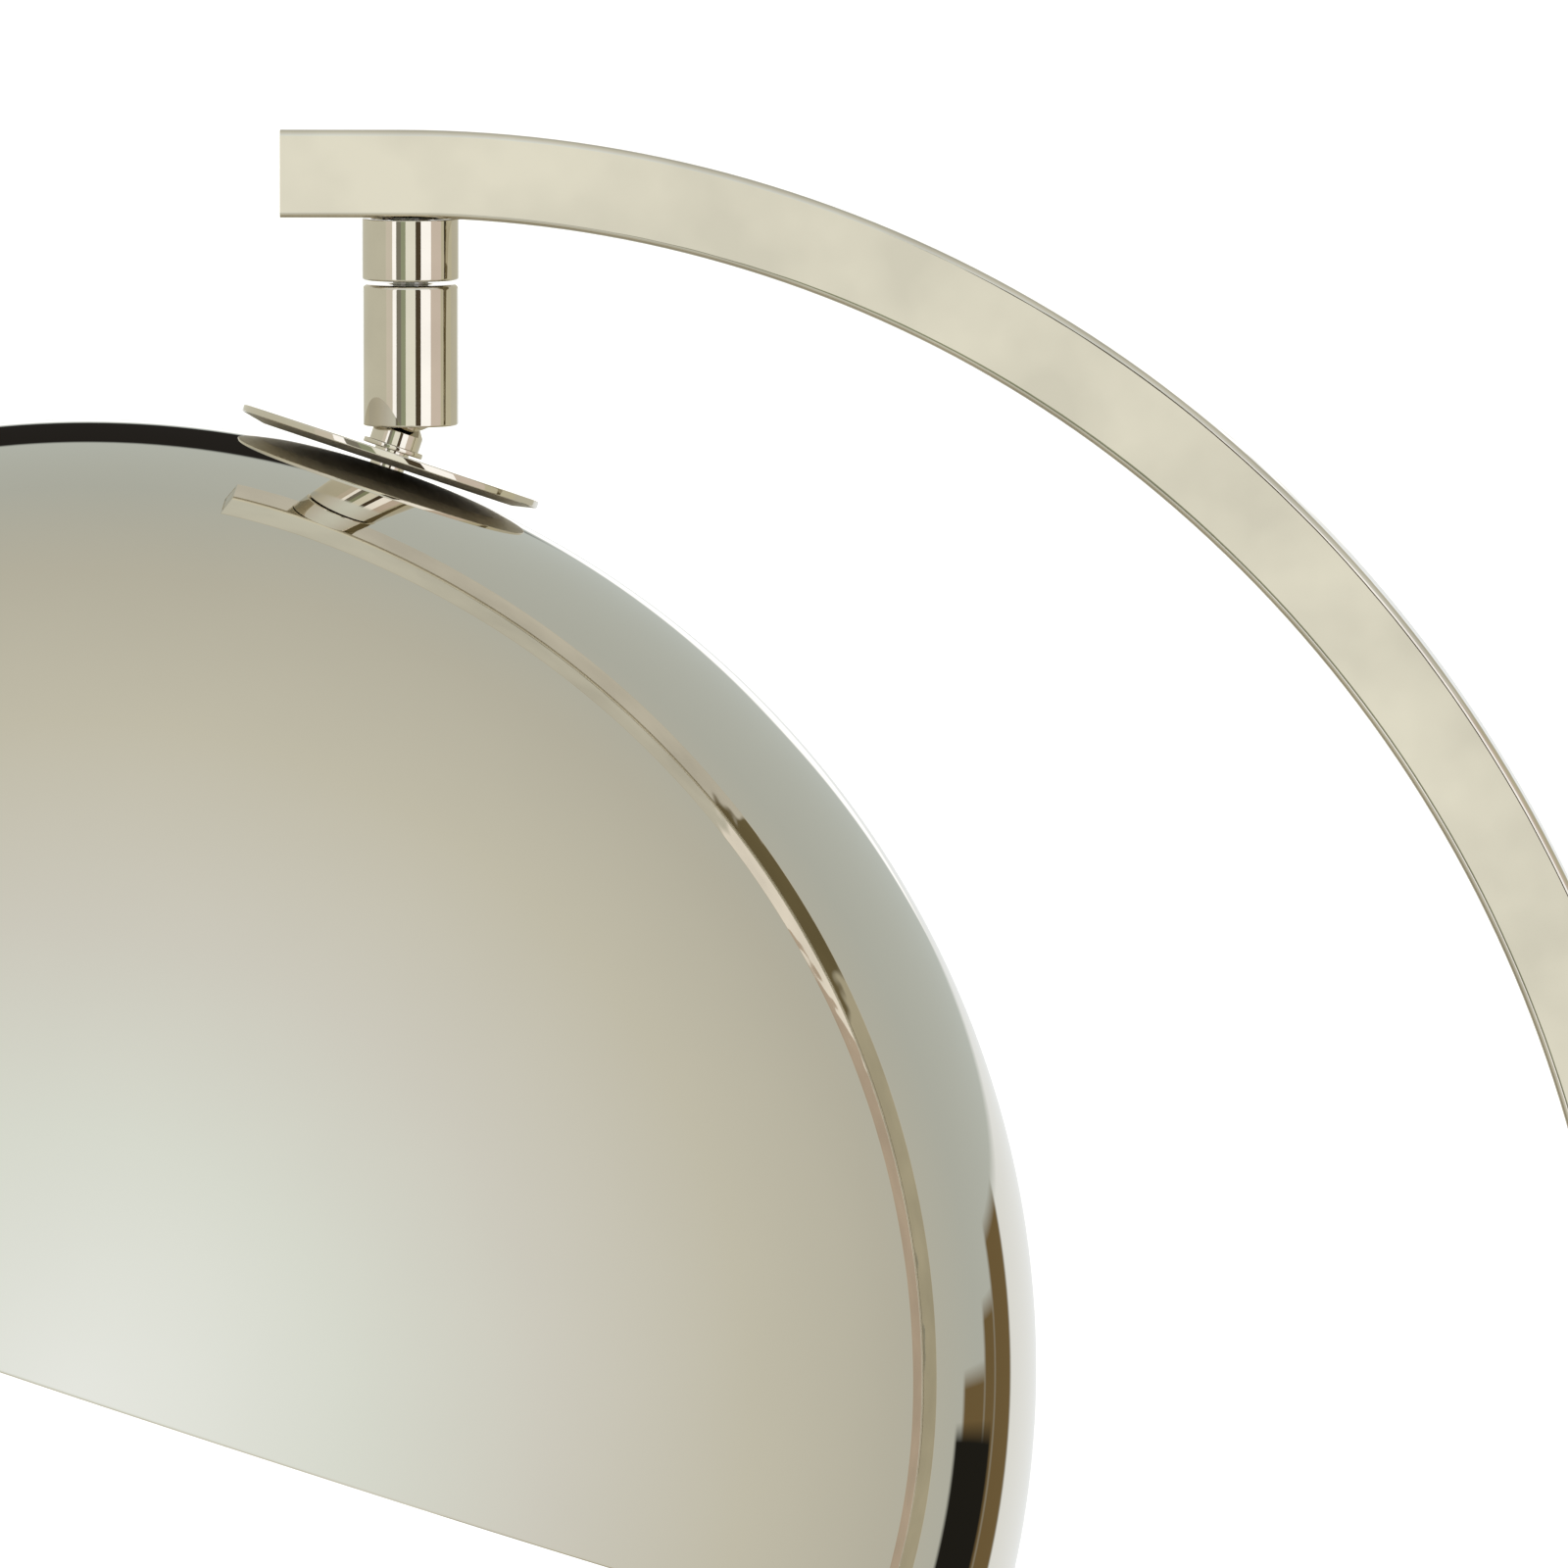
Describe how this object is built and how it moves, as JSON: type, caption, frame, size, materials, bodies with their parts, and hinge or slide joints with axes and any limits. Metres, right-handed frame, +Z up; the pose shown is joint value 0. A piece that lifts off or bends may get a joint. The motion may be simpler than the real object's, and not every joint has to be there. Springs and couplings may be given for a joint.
{
  "type": "extendable shaving mirror",
  "caption": "Countertop shaving mirror: a round glass in a polished half-ball shell, hung by a swivel and ball joint from an arched square arm that telescopes in a post on a weighted base.",
  "frame": {"origin": "centre of the foot pad's underside, on the surface that the mirror stands on", "axes": "+Z up, -X from the post towards the mirror head, +Y completes the right-handed frame; the arm lies in the XZ plane"},
  "size_m": [0.3101, 0.2144, 0.4003],
  "materials": {
    "polished_nickel": "polished nickel plate, warm white, mirror bright",
    "zinc_plated_steel": "bright zinc plate",
    "cast_iron": "as cast, painted black",
    "brass": "turned, unpolished",
    "nylon": "moulded, natural",
    "rubber": "sheet rubber",
    "foam": "closed-cell foam tape",
    "silvered_glass": "float glass silvered on its back"
  },
  "bodies": {
    "base": {"foot_pad": "rubber", "base_weight": "cast_iron", "base_cover": "polished_nickel", "post_flange": "polished_nickel", "post_tube": "polished_nickel", "post_foot_block": "zinc_plated_steel", "post_bolt": "zinc_plated_steel", "post_washer": "zinc_plated_steel", "guide_bush": "nylon", "clamp_collar": "polished_nickel"},
    "arm": {"arm_tube": "polished_nickel", "arm_end_plug": "polished_nickel", "leg_slider": "nylon", "swivel_collar": "polished_nickel", "swivel_pin": "zinc_plated_steel", "pin_nut": "zinc_plated_steel"},
    "clamp_screw": {"clamp_screw": "zinc_plated_steel", "clamp_tip": "brass"},
    "clamp_knob": {"clamp_knob": "polished_nickel"},
    "barrel": {"swivel_barrel": "polished_nickel", "friction_washer": "nylon", "ball_cup": "nylon", "ball_spring": "zinc_plated_steel"},
    "head": {"ball_stem": "polished_nickel", "cap_disc": "polished_nickel", "lock_washer": "zinc_plated_steel", "head_nut": "brass", "dome_shell": "polished_nickel", "retainer_ring": "polished_nickel", "mirror_glass": "silvered_glass", "foam_ring": "foam", "backing_plate": "zinc_plated_steel", "snap_ring": "zinc_plated_steel"}
  },
  "joints": [
    {"name": "arm_extend", "type": "slide", "parent": "base", "child": "arm", "axis": [0, 0, 1], "range_m": [0, 0.115]},
    {"name": "clamp_travel", "type": "slide", "parent": "base", "child": "clamp_screw", "axis": [1, 0, 0], "range_m": [0, 0.00081]},
    {"name": "knob_turn", "type": "hinge", "parent": "clamp_screw", "child": "clamp_knob", "pos_m": [0.06, 0, 0.196], "axis": [1, 0, 0], "range_deg": [0, 360]},
    {"name": "swivel_turn", "type": "hinge", "parent": "arm", "child": "barrel", "pos_m": [-0.08161, 0, 0.37001], "axis": [0, 0, 1], "range_deg": [-130, 105]},
    {"name": "head_tilt", "type": "hinge", "parent": "barrel", "child": "head", "pos_m": [-0.08161, 0, 0.37001], "axis": [-0.2334, 0.9724, 0], "range_deg": [-27, 0]}
  ],
  "couplings": [
    {"joint": "clamp_travel", "follows": "knob_turn", "m_per_rad": 0.00012732}
  ]
}
